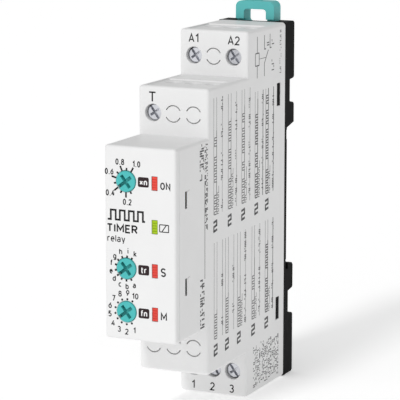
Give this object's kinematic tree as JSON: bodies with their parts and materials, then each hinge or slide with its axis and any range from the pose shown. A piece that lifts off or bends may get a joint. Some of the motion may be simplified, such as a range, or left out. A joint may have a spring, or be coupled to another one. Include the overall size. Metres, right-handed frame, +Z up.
{
  "type": "din rail timer",
  "caption": "One-module time relay for a 35 mm DIN rail: stepped white case, teal dials, lamps, screw terminals and a sliding rail clip.",
  "frame": {"origin": "middle of the rail seat, the face of the black foot that lies on the DIN rail, 64.5 mm behind the front panel", "axes": "+Y points back at the rail and the wall, +Z up, +X to the right as seen from the front"},
  "size_m": [0.018, 0.0693, 0.0953],
  "materials": {
    "white_plastic": "fine moulded texture",
    "black_plastic": "satin moulded",
    "teal_plastic": "satin moulded",
    "red_lens": "tinted diffusing",
    "green_lens": "tinted diffusing",
    "plated_steel": "zinc plated",
    "tinned_brass": "tinned",
    "board_laminate": "solder mask",
    "component_plastic": "moulded epoxy",
    "trimmer_blue": "moulded",
    "capacitor_sleeve": "shrink sleeve",
    "film_yellow": "dipped",
    "ferrite": "sintered",
    "resistor_coating": "cement",
    "varistor_coating": "epoxy dipped"
  },
  "bodies": {
    "timer": {"housing": "white_plastic", "front_cover": "white_plastic", "rail_base": "black_plastic", "clip_spring": "plated_steel", "time_trimmer": "trimmer_blue", "range_trimmer": "trimmer_blue", "function_trimmer": "trimmer_blue", "output_led": "red_lens", "supply_led": "green_lens", "seconds_led": "red_lens", "minutes_led": "red_lens", "lug_t": "tinned_brass", "lug_a1": "tinned_brass", "lug_a2": "tinned_brass", "lug_1": "tinned_brass", "lug_2": "tinned_brass", "lug_3": "tinned_brass", "main_board": "board_laminate", "front_board": "board_laminate", "board_header": "component_plastic", "output_relay": "component_plastic", "bulk_capacitor": "capacitor_sleeve", "small_capacitor": "capacitor_sleeve", "film_capacitor": "film_yellow", "supply_choke": "ferrite", "varistor": "varistor_coating", "fusible_resistor": "resistor_coating", "optocoupler": "component_plastic", "bridge_rectifier": "component_plastic", "controller": "component_plastic"},
    "clip": {"rail_clip": "teal_plastic"},
    "time_knob": {"time_knob": "teal_plastic"},
    "range_knob": {"range_knob": "teal_plastic"},
    "function_knob": {"function_knob": "teal_plastic"},
    "screw_t": {"screw_t": "plated_steel"},
    "cage_t": {"cage_t": "plated_steel"},
    "screw_a1": {"screw_a1": "plated_steel"},
    "cage_a1": {"cage_a1": "plated_steel"},
    "screw_a2": {"screw_a2": "plated_steel"},
    "cage_a2": {"cage_a2": "plated_steel"},
    "screw_1": {"screw_1": "plated_steel"},
    "cage_1": {"cage_1": "plated_steel"},
    "screw_2": {"screw_2": "plated_steel"},
    "cage_2": {"cage_2": "plated_steel"},
    "screw_3": {"screw_3": "plated_steel"},
    "cage_3": {"cage_3": "plated_steel"}
  },
  "joints": [
    {"name": "clip_slide", "type": "slide", "parent": "timer", "child": "clip", "axis": [0, 0, 1], "range_m": [0, 0.003], "stiffness_N_per_m": 3000, "deforming": ["clip_spring"]},
    {"name": "time_turn", "type": "hinge", "parent": "timer", "child": "time_knob", "pos_m": [-0.0035, -0.0645, 0.0144], "axis": [0, -1, 0], "range_deg": [-157.5, 78.75]},
    {"name": "range_turn", "type": "hinge", "parent": "timer", "child": "range_knob", "pos_m": [-0.0035, -0.0645, -0.0058], "axis": [0, -1, 0], "range_deg": [-157.5, 78.75]},
    {"name": "function_turn", "type": "hinge", "parent": "timer", "child": "function_knob", "pos_m": [-0.0035, -0.0645, -0.0159], "axis": [0, -1, 0], "range_deg": [-157.5, 78.75]},
    {"name": "screw_t_turn", "type": "hinge", "parent": "timer", "child": "screw_t", "pos_m": [-0.0052, -0.047, 0.0277], "axis": [0, 1, 0], "range_deg": [0, 1728]},
    {"name": "screw_a1_turn", "type": "hinge", "parent": "timer", "child": "screw_a1", "pos_m": [-0.0052, -0.0245, 0.0387], "axis": [0, 1, 0], "range_deg": [0, 1728]},
    {"name": "screw_a2_turn", "type": "hinge", "parent": "timer", "child": "screw_a2", "pos_m": [0.0052, -0.0245, 0.0387], "axis": [0, 1, 0], "range_deg": [0, 1728]},
    {"name": "screw_1_turn", "type": "hinge", "parent": "timer", "child": "screw_1", "pos_m": [-0.0052, -0.0245, -0.0387], "axis": [0, 1, 0], "range_deg": [0, 1728]},
    {"name": "screw_2_turn", "type": "hinge", "parent": "timer", "child": "screw_2", "pos_m": [0, -0.0245, -0.0387], "axis": [0, 1, 0], "range_deg": [0, 1728]},
    {"name": "screw_3_turn", "type": "hinge", "parent": "timer", "child": "screw_3", "pos_m": [0.0052, -0.0245, -0.0387], "axis": [0, 1, 0], "range_deg": [0, 1728]},
    {"name": "cage_t_slide", "type": "slide", "parent": "timer", "child": "cage_t", "axis": [0, -1, 0], "range_m": [0, 0.0024]},
    {"name": "cage_a1_slide", "type": "slide", "parent": "timer", "child": "cage_a1", "axis": [0, -1, 0], "range_m": [0, 0.0024]},
    {"name": "cage_a2_slide", "type": "slide", "parent": "timer", "child": "cage_a2", "axis": [0, -1, 0], "range_m": [0, 0.0024]},
    {"name": "cage_1_slide", "type": "slide", "parent": "timer", "child": "cage_1", "axis": [0, -1, 0], "range_m": [0, 0.0024]},
    {"name": "cage_2_slide", "type": "slide", "parent": "timer", "child": "cage_2", "axis": [0, -1, 0], "range_m": [0, 0.0024]},
    {"name": "cage_3_slide", "type": "slide", "parent": "timer", "child": "cage_3", "axis": [0, -1, 0], "range_m": [0, 0.0024]}
  ],
  "couplings": [
    {"joint": "screw_t_turn", "follows": "cage_t_slide", "rad_per_m": 12566},
    {"joint": "screw_a1_turn", "follows": "cage_a1_slide", "rad_per_m": 12566},
    {"joint": "screw_a2_turn", "follows": "cage_a2_slide", "rad_per_m": 12566},
    {"joint": "screw_1_turn", "follows": "cage_1_slide", "rad_per_m": 12566},
    {"joint": "screw_2_turn", "follows": "cage_2_slide", "rad_per_m": 12566},
    {"joint": "screw_3_turn", "follows": "cage_3_slide", "rad_per_m": 12566}
  ]
}
